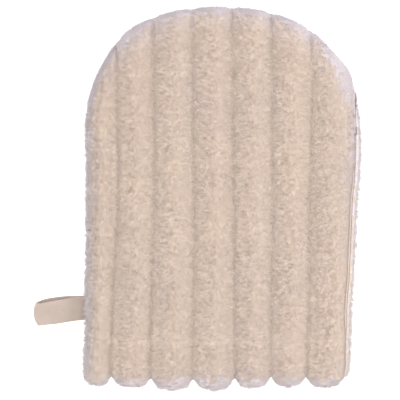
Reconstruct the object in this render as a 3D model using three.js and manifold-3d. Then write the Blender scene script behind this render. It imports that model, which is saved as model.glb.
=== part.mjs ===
// A ribbed plush wash mitt lying on its back. Two pile panels are sewn round an arched outline,
// the cuff is turned up inside the open end, and a folded tape loop stands out of the side seam.
// Each panel is a knitted ground with rows of tufts on it, which close up into soft ribs.
// Units are millimetres: +X to the right, +Y to the fingertips, +Z up, the mitt resting on z = 0.

import * as THREE from 'three';
import { mergeVertices } from 'three/addons/utils/BufferGeometryUtils.js';
import Module from 'manifold-3d';

const wasm = await Module();
wasm.setup();

// Outline of the mitt, over the pile
const MITT_WIDTH = 159;
const MITT_LENGTH = 220;
const ARCH_HEIGHT = 80;
const ARCH_SIDE_HANDLE = 57;
const ARCH_TOP_HANDLE = 50;

// Cloth
const KNIT = 1.2;
const POCKET_HEIGHT = 12;
const PILE_DEPTH = 8;
const VALLEY_PILE = 5.5;
const SIDE_PILE = 5;
const CROWN_PRESS = 0.8;
const PILE_ROLL_HEIGHT = 12;
const PILE_ROLL_SIDE = 9;
const FIT_GAP = 0.3;

// Ribs
const RIB_COUNT = 7;
const RIB_PITCH = 22.2;
const MIDDLE_RIB_X = -3.8;
const SCALLOP_DEPTH = 5.5;

// Cuff
const HEM_DEPTH = 27;
const MOUTH_GAP = 5.6;
const HEM_STITCH_SETBACK = 24.2;
const THREAD_RADIUS = 0.4;
const STITCH_MARGIN = 8;

// Side seam
const OVERLOCK_RADIUS = 0.6;
const OVERLOCK_DROP = 2.6;
const OVERLOCK_SETBACK = 1.6;

// Hanging loop
const LOOP_WIDTH = 13.8;
const LOOP_LENGTH = 28;
const LOOP_Y = -63.3;
const LOOP_LAYER = 1.4;
const LOOP_EYE = 5.2;
const LOOP_JOINED = 4;
const TAIL_INSIDE = 8;
const BARTACK_LENGTH = 11;
const BARTACK_WIDTH = 1.2;
const BARTACK_HEIGHT = 0.6;

// Fineness of the faceting
const ARCH_SEGMENTS = 11;
const ROUNDING_SEGMENTS = 3;
const RIB_SEGMENTS = 12;
const CAP_RINGS = 10;
const OVERLOCK_STEPS = 44;

// Worked out from the dimensions above
const HALF_WIDTH = MITT_WIDTH / 2;
const HALF_LENGTH = MITT_LENGTH / 2;
const ARCH_START = HALF_LENGTH - ARCH_HEIGHT;
const POCKET_HALF = POCKET_HEIGHT / 2;
const GROUND_HALF = POCKET_HALF + KNIT;
const PILE_HALF = GROUND_HALF + PILE_DEPTH;
const MID_Z = PILE_HALF;
const FOLD_Y = -HALF_LENGTH + SCALLOP_DEPTH;
const KNIT_END_Y = FOLD_Y + FIT_GAP;
const SEAM_X = HALF_WIDTH - SIDE_PILE + FIT_GAP / 2;
const KNIT_ROUNDING = POCKET_HALF - 1;
const TAPE_HALF = LOOP_LAYER;
const LOOP_PIVOT_X = -(HALF_WIDTH + TAPE_HALF + FIT_GAP);
const FAR = MITT_LENGTH;
const FRONT = 1;
const BACK = -1;

const PILE_FINISH = { color: 0xd4bfb1, roughness: 0.95, metalness: 0 };
const KNIT_FINISH = { color: 0xc6b2a4, roughness: 0.9, metalness: 0 };
const TAPE_FINISH = { color: 0xd2c0b5, roughness: 0.85, metalness: 0 };
const THREAD_FINISH = { color: 0xe6dcd2, roughness: 0.6, metalness: 0 };

// Closed geometry to solid and back

function solid(geometry) {
  const bare = geometry.clone();
  bare.deleteAttribute('normal');
  bare.deleteAttribute('uv');
  const merged = mergeVertices(bare, 1e-4);
  return new wasm.Manifold(new wasm.Mesh({
    numProp: 3,
    vertProperties: new Float32Array(merged.attributes.position.array),
    triVerts: new Uint32Array(merged.index.array),
  }));
}

function geometryOf(manifold) {
  const mesh = manifold.getMesh();
  const geometry = new THREE.BufferGeometry();
  geometry.setAttribute('position', new THREE.BufferAttribute(new Float32Array(mesh.vertProperties), 3));
  geometry.setIndex(new THREE.BufferAttribute(new Uint32Array(mesh.triVerts), 1));
  geometry.computeVertexNormals();
  return geometry;
}

function meshOf(name, geometry, finish) {
  const mesh = new THREE.Mesh(geometry, new THREE.MeshStandardMaterial(finish));
  mesh.name = name;
  return mesh;
}

function block(x0, x1, y0, y1, z0, z1) {
  const geometry = new THREE.BoxGeometry(x1 - x0, y1 - y0, z1 - z0);
  geometry.translate((x0 + x1) / 2, (y0 + y1) / 2, (z0 + z1) / 2);
  return solid(geometry);
}

// A height counted from the plane between the panels, outwards on the given side
function levelZ(side, height) {
  return MID_Z + side * height;
}

// The block between two such heights
function layer(side, x0, x1, y0, y1, low, high) {
  const z0 = levelZ(side, low);
  const z1 = levelZ(side, high);
  return block(x0, x1, y0, y1, Math.min(z0, z1), Math.max(z0, z1));
}

// Outline of the mitt, left open-ended past the cuff

function archShape() {
  const shape = new THREE.Shape();
  const handleY = ARCH_START + ARCH_SIDE_HANDLE;
  shape.moveTo(-HALF_WIDTH, -FAR);
  shape.lineTo(HALF_WIDTH, -FAR);
  shape.lineTo(HALF_WIDTH, ARCH_START);
  shape.bezierCurveTo(HALF_WIDTH, handleY, ARCH_TOP_HANDLE, HALF_LENGTH, 0, HALF_LENGTH);
  shape.bezierCurveTo(-ARCH_TOP_HANDLE, HALF_LENGTH, -HALF_WIDTH, handleY, -HALF_WIDTH, ARCH_START);
  return shape;
}

// A pillow with the arched outline, drawn in by inset, with its rim rounded off
function pillow(inset, halfHeight, roundingHeight, roundingSide) {
  const depth = 2 * (halfHeight - roundingHeight);
  const geometry = new THREE.ExtrudeGeometry(archShape(), {
    depth,
    steps: 1,
    curveSegments: ARCH_SEGMENTS,
    bevelEnabled: true,
    bevelThickness: roundingHeight,
    bevelSize: roundingSide,
    bevelOffset: -inset - roundingSide,
    bevelSegments: ROUNDING_SEGMENTS,
  });
  geometry.translate(0, 0, MID_Z - depth / 2);
  return solid(geometry);
}

function knitPillow(inset, halfHeight) {
  return pillow(inset, halfHeight, KNIT_ROUNDING, KNIT_ROUNDING);
}

// The pile's outside, the knit's outside with its clearance, and the pocket inside the knit
const pileOutside = pillow(0, PILE_HALF, PILE_ROLL_HEIGHT, PILE_ROLL_SIDE);
const knitOutside = knitPillow(SIDE_PILE, GROUND_HALF);
const knitCutter = knitPillow(SIDE_PILE - FIT_GAP, GROUND_HALF + FIT_GAP)
  .intersect(block(-FAR, FAR, FOLD_Y, FAR, -FAR, FAR));
const pocketInside = knitPillow(SIDE_PILE + KNIT, POCKET_HALF);
const hemSpace = knitPillow(SIDE_PILE + KNIT + FIT_GAP, POCKET_HALF - FIT_GAP);
const tailSlot = block(
  -FAR, 0,
  LOOP_Y - LOOP_WIDTH / 2 - FIT_GAP, LOOP_Y + LOOP_WIDTH / 2 + FIT_GAP,
  MID_Z - TAPE_HALF - FIT_GAP, MID_Z + TAPE_HALF + FIT_GAP,
);

// Ribs

// Where a rib starts and ends across the mitt, with the edge ribs running out to the sides
function ribSpan(side, index) {
  const middle = (RIB_COUNT - 1) / 2;
  const centre = MIDDLE_RIB_X + (index - middle) * RIB_PITCH;
  const halfRib = (RIB_PITCH - FIT_GAP) / 2;
  const leftEdge = index === 0;
  const rightEdge = index === RIB_COUNT - 1;
  const rightSide = side === FRONT ? SEAM_X - FIT_GAP / 2 : HALF_WIDTH;
  return {
    centre,
    halfRib,
    leftEdge,
    rightEdge,
    left: leftEdge ? -HALF_WIDTH : centre - halfRib,
    right: rightEdge ? rightSide : centre + halfRib,
  };
}

// A cross-section between the seam plane and the crown, with a round shoulder down to each valley.
// An edge rib has no outer shoulder: its crown runs on past the side, where the pillow cuts it.
function ribSection(side, span) {
  const base = levelZ(side, FIT_GAP / 2);
  const valley = levelZ(side, GROUND_HALF + VALLEY_PILE);
  const rise = side * (PILE_DEPTH - VALLEY_PILE + (side === BACK ? CROWN_PRESS : 0));
  const shoulder = (angle) => new THREE.Vector2(
    span.centre + span.halfRib * Math.cos(angle),
    valley + rise * Math.sin(angle),
  );
  const outer = (x) => [new THREE.Vector2(x, valley + rise)];
  const angles = Array.from({ length: RIB_SEGMENTS / 2 }, (_, i) => Math.PI * i / RIB_SEGMENTS);
  const rightSide = span.rightEdge ? outer(FAR) : angles.map(shoulder);
  const leftSide = span.leftEdge ? outer(-FAR) : angles.map((angle) => shoulder(Math.PI - angle)).reverse();
  return new THREE.Shape([
    new THREE.Vector2(span.leftEdge ? -FAR : span.left, base),
    new THREE.Vector2(span.rightEdge ? FAR : span.right, base),
    ...rightSide,
    shoulder(Math.PI / 2),
    ...leftSide,
  ]);
}

// The round end where a rib turns over the cuff's fold
function scallopCap(side, span) {
  const inner = MOUTH_GAP / 2;
  const geometry = new THREE.SphereGeometry(1, 2 * RIB_SEGMENTS, CAP_RINGS);
  geometry.scale((span.right - span.left) / 2, SCALLOP_DEPTH, (PILE_HALF - inner) / 2);
  geometry.translate((span.left + span.right) / 2, FOLD_Y, levelZ(side, (PILE_HALF + inner) / 2));
  return solid(geometry);
}

// The back panel's last rib rolls round the right side, up to the seam on the front
function sideRoll() {
  return layer(FRONT, SEAM_X + FIT_GAP / 2, HALF_WIDTH, FOLD_Y, FAR, -GROUND_HALF, PILE_HALF);
}

function rib(side, index) {
  const span = ribSpan(side, index);
  const length = FAR - FOLD_Y;
  const geometry = new THREE.ExtrudeGeometry(ribSection(side, span), {
    depth: length,
    steps: 1,
    bevelEnabled: false,
  });
  geometry.rotateX(Math.PI / 2);
  geometry.translate(0, FOLD_Y + length, 0);
  const across = block(span.left, span.right, -FAR, FAR, -FAR, FAR);
  let body = solid(geometry).intersect(across).add(scallopCap(side, span));
  if (side === BACK && span.rightEdge) {
    body = body.add(sideRoll());
  }
  body = body.intersect(pileOutside).subtract(knitCutter);
  if (span.leftEdge) {
    body = body.subtract(tailSlot);
  }
  return body;
}

// Panels and cuff

function groundKnit(side) {
  const half = layer(side, -FAR, FAR, KNIT_END_Y, FAR, FIT_GAP / 2, PILE_HALF);
  return knitOutside.subtract(pocketInside).intersect(half).subtract(tailSlot);
}

const stitchY = -HALF_LENGTH + SCALLOP_DEPTH + HEM_STITCH_SETBACK;
const stitchHalf = HALF_WIDTH - SIDE_PILE - STITCH_MARGIN;

// A straight run of thread across the cuff, on the hem's inner face
function hemThread(side, radius, halfLength) {
  const geometry = new THREE.CylinderGeometry(radius, radius, 2 * halfLength, 8);
  geometry.rotateZ(Math.PI / 2);
  geometry.translate(0, stitchY, levelZ(side, MOUTH_GAP / 2 + THREAD_RADIUS));
  return solid(geometry);
}

function hem(side) {
  const strip = layer(side, -FAR, FAR, KNIT_END_Y, KNIT_END_Y + HEM_DEPTH, MOUTH_GAP / 2, POCKET_HALF);
  const groove = hemThread(side, THREAD_RADIUS + FIT_GAP, HALF_WIDTH);
  return hemSpace.intersect(strip).subtract(groove);
}

// Side seam

function seamOverlock() {
  const inset = SIDE_PILE + KNIT + OVERLOCK_SETBACK;
  const x = HALF_WIDTH - inset;
  const top = HALF_LENGTH - inset;
  const z = MID_Z - OVERLOCK_DROP;
  const startY = KNIT_END_Y + HEM_DEPTH + OVERLOCK_RADIUS + FIT_GAP;
  const handleY = ARCH_START + ARCH_SIDE_HANDLE - inset;
  const handleX = ARCH_TOP_HANDLE - inset / 2;
  const at = (px, py) => new THREE.Vector3(px, py, z);
  const path = new THREE.CurvePath();
  path.add(new THREE.LineCurve3(at(-x, startY), at(-x, ARCH_START)));
  path.add(new THREE.CubicBezierCurve3(at(-x, ARCH_START), at(-x, handleY), at(-handleX, top), at(0, top)));
  path.add(new THREE.CubicBezierCurve3(at(0, top), at(handleX, top), at(x, handleY), at(x, ARCH_START)));
  path.add(new THREE.LineCurve3(at(x, ARCH_START), at(x, startY)));
  const section = new THREE.Shape();
  section.absarc(0, 0, OVERLOCK_RADIUS, 0, 2 * Math.PI);
  return new THREE.ExtrudeGeometry(section, {
    steps: OVERLOCK_STEPS,
    curveSegments: 8,
    bevelEnabled: false,
    extrudePath: path,
  });
}

// Hanging loop

// Side view of the folded tape: two layers joined at the root, open round the eye at the fold
function hangingLoop() {
  const tipRadius = LOOP_EYE / 2 + LOOP_LAYER;
  const tip = LOOP_LENGTH + LOOP_PIVOT_X + HALF_WIDTH;
  const bend = tip - tipRadius;
  const rise = bend / 2;
  const profile = new THREE.Shape();
  profile.absarc(0, 0, TAPE_HALF, Math.PI / 2, 3 * Math.PI / 2);
  profile.bezierCurveTo(rise, -TAPE_HALF, rise, -tipRadius, bend, -tipRadius);
  profile.absarc(bend, 0, tipRadius, -Math.PI / 2, Math.PI / 2);
  profile.bezierCurveTo(rise, tipRadius, rise, TAPE_HALF, 0, TAPE_HALF);
  const eye = new THREE.Path();
  eye.moveTo(LOOP_JOINED, 0);
  eye.bezierCurveTo(rise, -LOOP_EYE / 4, rise, -LOOP_EYE / 2, bend, -LOOP_EYE / 2);
  eye.absarc(bend, 0, LOOP_EYE / 2, -Math.PI / 2, Math.PI / 2);
  eye.bezierCurveTo(rise, LOOP_EYE / 2, rise, LOOP_EYE / 4, LOOP_JOINED, 0);
  profile.holes.push(eye);
  const geometry = new THREE.ExtrudeGeometry(profile, {
    depth: LOOP_WIDTH,
    steps: 1,
    curveSegments: 8,
    bevelEnabled: false,
  });
  geometry.translate(0, 0, -LOOP_WIDTH / 2);
  geometry.rotateX(Math.PI / 2);
  geometry.rotateZ(Math.PI);
  geometry.translate(LOOP_PIVOT_X, LOOP_Y, MID_Z);
  return geometry;
}

const tailEndX = -(HALF_WIDTH - SIDE_PILE - KNIT) + TAIL_INSIDE;

function loopTails() {
  const halfWidth = LOOP_WIDTH / 2;
  const rootX = LOOP_PIVOT_X + TAPE_HALF + FIT_GAP;
  return block(rootX, tailEndX, LOOP_Y - halfWidth, LOOP_Y + halfWidth, MID_Z - TAPE_HALF, MID_Z + TAPE_HALF);
}

function loopBartack() {
  const x = tailEndX - TAIL_INSIDE / 2;
  const z = MID_Z + TAPE_HALF + FIT_GAP;
  const halfLength = BARTACK_LENGTH / 2;
  return block(x, x + BARTACK_WIDTH, LOOP_Y - halfLength, LOOP_Y + halfLength, z, z + BARTACK_HEIGHT);
}

// Assembly

function panel(side, name) {
  const group = new THREE.Group();
  group.add(meshOf(`${name}_ground_knit`, geometryOf(groundKnit(side)), KNIT_FINISH));
  for (let index = 0; index < RIB_COUNT; index += 1) {
    group.add(meshOf(`${name}_rib_${index + 1}`, geometryOf(rib(side, index)), PILE_FINISH));
  }
  group.add(meshOf(`${name}_hem`, geometryOf(hem(side)), PILE_FINISH));
  const thread = hemThread(side, THREAD_RADIUS, stitchHalf);
  group.add(meshOf(`${name}_hem_stitch`, geometryOf(thread), THREAD_FINISH));
  return group;
}

const mitt = new THREE.Group();
mitt.add(panel(BACK, 'back'));
mitt.add(panel(FRONT, 'front'));
mitt.add(meshOf('seam_overlock', seamOverlock(), THREAD_FINISH));
mitt.add(meshOf('loop_tails', geometryOf(loopTails()), TAPE_FINISH));
mitt.add(meshOf('loop_bartack', geometryOf(loopBartack()), THREAD_FINISH));
mitt.add(meshOf('hanging_loop', hangingLoop(), TAPE_FINISH));

export default mitt;
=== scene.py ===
"""A ribbed plush wash mitt, lying on its back with its fingertips away and its loop to the left.

Every length is in metres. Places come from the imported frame's boxes, so each piece sits where
its solid is: two panels of knitted cloth with rows of pile on them, a turned-up cuff, the seam
round the sides, and the folded tape loop.
"""

import logging
import math
from dataclasses import dataclass, field
from enum import Enum, IntEnum

import bmesh
import bpy
import numpy as np
from bpy.types import Material, Mesh, Node, NodeSocket, NodeTree, Object
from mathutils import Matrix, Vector
from mathutils.bvhtree import BVHTree


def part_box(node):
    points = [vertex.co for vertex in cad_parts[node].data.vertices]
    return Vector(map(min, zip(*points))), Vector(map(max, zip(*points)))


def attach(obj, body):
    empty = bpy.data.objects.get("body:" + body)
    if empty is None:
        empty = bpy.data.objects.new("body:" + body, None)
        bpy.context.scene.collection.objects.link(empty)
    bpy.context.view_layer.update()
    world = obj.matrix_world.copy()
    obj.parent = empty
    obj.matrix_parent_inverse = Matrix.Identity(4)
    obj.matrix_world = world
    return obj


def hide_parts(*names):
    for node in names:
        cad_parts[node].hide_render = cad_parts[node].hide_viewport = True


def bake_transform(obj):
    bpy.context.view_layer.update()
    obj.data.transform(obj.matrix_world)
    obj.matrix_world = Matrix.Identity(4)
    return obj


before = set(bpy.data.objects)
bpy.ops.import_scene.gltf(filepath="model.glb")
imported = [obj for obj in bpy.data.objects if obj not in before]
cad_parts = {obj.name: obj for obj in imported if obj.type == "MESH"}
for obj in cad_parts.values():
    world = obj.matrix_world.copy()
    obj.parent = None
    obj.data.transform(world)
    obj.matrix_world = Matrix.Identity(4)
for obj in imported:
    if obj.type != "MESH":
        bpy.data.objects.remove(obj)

MM = 0.001
Array = np.ndarray
Chance = np.random.Generator
BMesh = bmesh.types.BMesh
Items = bpy.types.bpy_prop_collection
Pair = tuple[float, float]
Triple = tuple[float, float, float]
Colour = tuple[float, float, float, float]
Span = Pair | None
Table = tuple[Pair, ...]
log = logging.getLogger("wash_mitt")


class Side(Enum):
    """The two panels, by the way that they face."""

    FRONT = 1
    BACK = -1

    @property
    def word(self) -> str:
        """The panel's name in node and piece names."""
        return self.name.lower()


class Seed(IntEnum):
    """The seed of each thing that varies by chance."""

    WANDER = 11
    WAVES = 12
    DRIFT = 31
    PATCH = 32
    OUTLINE = 33
    RIM = 34
    HEM_DENT = 41
    PARTING = 51
    RUFFLE_FINE = 52
    RUFFLE_BROAD = 53
    WRINKLE = 61
    CREASE = 71
    STITCHES = 81
    RIBS = 100
    CUFF = 300


# Numbers and noise

WORD = 0xFFFFFFFF
CELL_PRIMES = (73856093, 19349663, 83492791)
SEED_PRIME = 2654435761
MIXING = ((16, 0x45D9F3B), (15, 0x2C1B3C6D), (16, 0x297A2D39))


def smoothstep(low: float, high: float, value: Array) -> Array:
    """Rises smoothly from 0 at low to 1 at high, which may be the lesser of the two, for a fall."""
    t = np.clip((value - low) / (high - low), 0.0, 1.0)
    return t * t * (3.0 - 2.0 * t)


def at_least(low: float, share: Array) -> Array:
    """Squeezes a share from 0 to 1 into the span from low to 1."""
    return low + (1.0 - low) * share


def unit(vectors: Array) -> Array:
    """Scales each row to length 1."""
    return vectors / np.maximum(np.linalg.norm(vectors, axis=1, keepdims=True), 1e-12)


def hashed(cells: Array, seed: int) -> Array:
    """Gives each whole-number cell its own even random number.

    Args:
        cells: Whole numbers, one cell of three a row.
        seed: Which of the many patterns.

    Returns:
        A number from 0 to 1 for each cell.
    """
    x, y, z = (cells[:, k].astype(np.int64) * prime for k, prime in enumerate(CELL_PRIMES))
    h = (x ^ y ^ z ^ (int(seed) * SEED_PRIME)) & WORD
    for shift, factor in MIXING:
        h = ((h ^ (h >> shift)) * factor) & WORD
    return (h ^ (h >> 15)).astype(float) / WORD


def noise(points: Array, cell: Triple, seed: int) -> Array:
    """Smooth noise from -1 to 1.

    Args:
        points: Where it is wanted.
        cell: The size of its bumps along X, Y and Z.
        seed: Which of the many patterns.

    Returns:
        One value a point.
    """
    place = points / np.array(cell)
    corner = np.floor(place)
    part = place - corner
    part = part * part * (3.0 - 2.0 * part)
    total = np.zeros(len(points))
    for step in np.ndindex(2, 2, 2):
        weight = np.prod(np.where(step, part, 1.0 - part), axis=1)
        total += weight * hashed(corner + step, seed)
    return 2.0 * total - 1.0


# Where things are


@dataclass(frozen=True)
class Layout:
    """The mitt's main places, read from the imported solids."""

    side_x: float
    tip_y: float
    cuff_y: float
    fold_y: float
    middle_z: float
    top_z: float
    rib_count: int
    arch_start: float = 0.030
    fullness: float = 2.42

    @classmethod
    def read(cls) -> "Layout":
        """Reads the places from the boxes of the solids.

        Returns:
            The layout.
        """
        low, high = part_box("back_rib_4")
        knit_low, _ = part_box("front_ground_knit")
        _, back_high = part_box("back_ground_knit")
        return cls(
            side_x=-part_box("back_rib_1")[0][0],
            tip_y=high[1],
            cuff_y=low[1],
            fold_y=knit_low[1],
            middle_z=(knit_low[2] + back_high[2]) / 2,
            top_z=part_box("front_rib_4")[1][2],
            rib_count=sum(name.startswith("front_rib_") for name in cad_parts),
        )

    def inset(self, points: Array) -> Array:
        """How far inside the mitt's outline each point is, seen from above.

        Args:
            points: Points of the mitt.

        Returns:
            The distance from the outline, less than 0 outside it.
        """
        across = np.abs(points[:, 0]) / self.side_x
        along = np.maximum(points[:, 1] - self.arch_start, 0.0) / (self.tip_y - self.arch_start)
        out = (across**self.fullness + along**self.fullness) ** (1 / self.fullness)
        return np.minimum((1.0 - out) * self.side_x, points[:, 1] - self.cuff_y - 2 * MM)


@dataclass(frozen=True)
class Settling:
    """How the soft mitt lies once it is dropped: the ribs wander and the cuff hangs unevenly.

    The tables give, in millimetres, places along or across the mitt and the shift at each.
    """

    place: Layout
    cuff_lean: Table = (
        (-79.5, 0.0), (-59.3, -3.6), (-37.1, -2.8), (-14.9, -0.6),
        (7.3, 0.8), (29.5, 0.0), (51.7, -2.4), (74.5, -4.4), (79.5, -4.4),
    )
    left_side: Table = (
        (-110, 1.2), (-84, 1.9), (-75, 2.7), (-47, 2.2), (-38, 2.9), (26, 2.9), (36, 1.9),
        (55, 1.4), (72, 1.7), (80, 2.2), (91, 0.9), (100, -0.9), (108, -1.5),
    )
    right_side: Table = (
        (-110, -0.6), (-103, -0.8), (-95, -0.3), (-57, -0.5), (-47, 0.1), (0, 0.2), (8, 1.0),
        (26, 1.5), (55, 1.7), (63, 2.8), (72, 3.7), (77, 2.0), (85, 0.0), (96, 0.8), (108, 2.0),
    )
    lean_from_y: float = 0.035
    left_from_x: float = -0.030
    right_from_x: float = 0.040
    wander: float = 0.7 * MM
    wander_cell: Triple = (0.03, 0.055, 1.0)
    waves: float = 0.9 * MM
    wave_cell: Triple = (0.045, 0.06, 1.0)
    scallop_lift: tuple[float, ...] = (3.4, 1.9, 0.1, 0.2, 1.7, 2.6, 2.3)
    notch_lift: float = 1.9 * MM
    notch_width: float = 2.6 * MM
    corner_lift: float = 10 * MM
    lift_depth: float = 0.012

    def apply(self, points: Array) -> Array:
        """Moves points of the mitt to where the settled cloth has them.

        Args:
            points: Points of the mitt as it was cut and sewn.

        Returns:
            The moved points.
        """
        place, moved = self.place, points.copy()
        x, y, z = points.T
        moved[:, 0] += smoothstep(self.lean_from_y, place.cuff_y, y) * self.looked_up(self.cuff_lean, x)
        moved[:, 0] += smoothstep(self.left_from_x, -place.side_x, x) * self.looked_up(self.left_side, y)
        moved[:, 0] += smoothstep(self.right_from_x, place.side_x, x) * self.looked_up(self.right_side, y)
        inside = 1.0 - (x / place.side_x) ** 4
        flat = np.column_stack((x, y, np.zeros(len(x))))
        moved[:, 0] += self.wander * inside * noise(flat, self.wander_cell, Seed.WANDER)
        height = np.clip((z - place.middle_z) / (place.top_z - place.middle_z), 0.0, 1.0)
        moved[:, 2] += self.waves * height * inside * (noise(flat, self.wave_cell, Seed.WAVES) - 0.4)
        moved[:, 1] += self.lift(x) * smoothstep(place.fold_y + self.lift_depth, place.cuff_y, y)
        return moved

    def looked_up(self, table: Table, at: Array) -> Array:
        """Reads a table of places and shifts in millimetres, at places given in metres."""
        places, shifts = np.array(table).T * MM
        return np.interp(at, places, shifts)

    def lift(self, x: Array) -> Array:
        """How far the cuff's edge is drawn up.

        Args:
            x: Places across the mitt.

        Returns:
            The lift at each.
        """
        count = self.place.rib_count
        middles, lifts = [], [amount * MM for amount in self.scallop_lift[:count]]
        result = np.zeros(len(x))
        for index in range(count):
            low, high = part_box(f"front_rib_{index + 1}")
            middles.append((low[0] + high[0]) / 2)
            if index < count - 1:
                result += self.notch_lift * np.exp(-(((x - high[0]) / self.notch_width) ** 2))
        middles += [middles[-1] + 10.5 * MM, self.place.side_x + MM]
        return result + np.interp(x, middles, [*lifts, 1.1 * MM, self.corner_lift])


# Meshes


def add_object(name: str, mesh: Mesh) -> Object:
    """Puts a mesh in the scene as a piece at the origin.

    Args:
        name: The piece's name.
        mesh: Its mesh, in the row frame.

    Returns:
        The new object.
    """
    obj = bpy.data.objects.new(name, mesh)
    bpy.context.scene.collection.objects.link(obj)
    return obj


def finished(bm: BMesh, name: str, smooth: bool = True) -> Object:
    """Turns a bmesh into a piece.

    Args:
        bm: The mesh, which is freed.
        name: The piece's name.
        smooth: Whether it is shaded smooth.

    Returns:
        The new object.
    """
    mesh = bpy.data.meshes.new(name)
    bm.to_mesh(mesh)
    bm.free()
    if smooth:
        mesh.shade_smooth()
    return add_object(name, mesh)


def evaluated(obj: Object) -> Mesh:
    """Makes a mesh of a piece as its modifiers, or its curve's thickness, leave it.

    Args:
        obj: The piece.

    Returns:
        The new mesh.
    """
    graph = bpy.context.evaluated_depsgraph_get()
    graph.update()
    return bpy.data.meshes.new_from_object(obj.evaluated_get(graph))


def applied(obj: Object) -> Object:
    """Makes a piece's modifiers part of its mesh.

    Args:
        obj: The piece.

    Returns:
        The same piece.
    """
    mesh, old = evaluated(obj), obj.data
    obj.modifiers.clear()
    obj.data = mesh
    bpy.data.meshes.remove(old)
    return obj


def rows_of(items: Items, key: str, kind: type = np.float32, width: int = 3) -> Array:
    """Reads a property of each of a mesh's vertices, edges or faces.

    Args:
        items: The vertices, edges or faces.
        key: The property's name.
        kind: The type of its numbers.
        width: How many numbers it has.

    Returns:
        The numbers, one item a row.
    """
    flat = np.empty(len(items) * width, kind)
    items.foreach_get(key, flat)
    return flat.reshape(-1, width)


def places_of(mesh: Mesh) -> Array:
    """The places of a mesh's vertices, one a row."""
    return rows_of(mesh.vertices, "co").astype(float)


def normals_of(mesh: Mesh) -> Array:
    """The normals of a mesh's vertices, one a row."""
    return rows_of(mesh.vertices, "normal").astype(float)


def triangles_of(mesh: Mesh) -> Array:
    """The corners of a mesh's triangles, one triangle a row."""
    mesh.calc_loop_triangles()
    return rows_of(mesh.loop_triangles, "vertices", np.int32)


def softened_normals(mesh: Mesh, rounds: int) -> Array:
    """The normals of a mesh's vertices, evened out over their neighbours.

    Args:
        mesh: The mesh.
        rounds: How many times each is averaged with the next ones to it.

    Returns:
        The normals, one a row.
    """
    a, b = rows_of(mesh.edges, "vertices", np.int32, 2).T
    normal = normals_of(mesh)
    count = len(normal)
    for _ in range(rounds):
        total = normal.copy()
        for axis in range(3):
            total[:, axis] += np.bincount(a, normal[b, axis], count) + np.bincount(b, normal[a, axis], count)
        normal = unit(total)
    return normal


def put_places(mesh: Mesh, points: Array) -> None:
    """Moves a mesh's vertices to new places, one a row."""
    mesh.vertices.foreach_set("co", points.astype(np.float32).ravel())
    mesh.update()


def cut(bm: BMesh, at: tuple[float, ...], way: tuple[float, ...], clear: bool = False) -> None:
    """Cuts a mesh by the plane through a point, and may clear away what lies in front of it."""
    whole = bm.verts[:] + bm.edges[:] + bm.faces[:]
    bmesh.ops.bisect_plane(bm, geom=whole, dist=1e-7, plane_co=at, plane_no=way, clear_outer=clear)


def solid_copy(node: str, x_range: Span = None) -> BMesh:
    """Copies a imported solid, or the part of it between two planes across the mitt.

    Args:
        node: The solid's node.
        x_range: The two planes, or None for the whole of it.

    Returns:
        The closed copy.
    """
    bm = bmesh.new()
    bm.from_mesh(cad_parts[node].data)
    bmesh.ops.remove_doubles(bm, verts=bm.verts, dist=2e-6)
    if x_range is None:
        return bm
    for x, way in zip(x_range, (-1, 1)):
        cut(bm, (x, 0, 0), (way, 0, 0), clear=True)
        bmesh.ops.holes_fill(bm, edges=[edge for edge in bm.edges if edge.is_boundary], sides=0)
    bmesh.ops.triangulate(bm, faces=bm.faces)
    return bm


def evened(bm: BMesh, name: str, voxel: float, softening: int) -> Object:
    """Remeshes a closed shape into small even faces and softens its edges.

    Args:
        bm: The shape, which is freed.
        name: The piece's name.
        voxel: The size of the new faces.
        softening: How many rounds of smoothing.

    Returns:
        The new object.
    """
    obj = finished(bm, name)
    remesh = obj.modifiers.new("even_faces", "REMESH")
    remesh.mode = "VOXEL"
    remesh.voxel_size = voxel
    remesh.use_smooth_shade = True
    soften = obj.modifiers.new("soften", "SMOOTH")
    soften.factor = 0.5
    soften.iterations = softening
    return applied(obj)


def thread_runs(name: str, runs: list[Array], radius: float, sides: int = 6) -> Object:
    """Makes lengths of thread or cord with closed ends.

    Args:
        name: The piece's name.
        runs: The points that each length follows, one a row.
        radius: The thread's radius.
        sides: How many sides it has round it.

    Returns:
        The new object.
    """
    curve = bpy.data.curves.new(name, "CURVE")
    curve.dimensions = "3D"
    curve.bevel_depth = radius
    curve.bevel_resolution = max(0, sides // 2 - 2)
    curve.use_fill_caps = True
    for run in runs:
        spline = curve.splines.new("POLY")
        spline.points.add(len(run) - 1)
        flat = np.column_stack((run, np.ones(len(run)))).ravel()
        spline.points.foreach_set("co", flat.astype(np.float32))
    shaped = add_object(name, curve)
    mesh = evaluated(shaped)
    bpy.data.objects.remove(shaped)
    bm = bmesh.new()
    bm.from_mesh(mesh)
    bpy.data.meshes.remove(mesh)
    bmesh.ops.remove_doubles(bm, verts=bm.verts, dist=1e-7)
    bmesh.ops.recalc_face_normals(bm, faces=bm.faces)
    return finished(bm, name)


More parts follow.
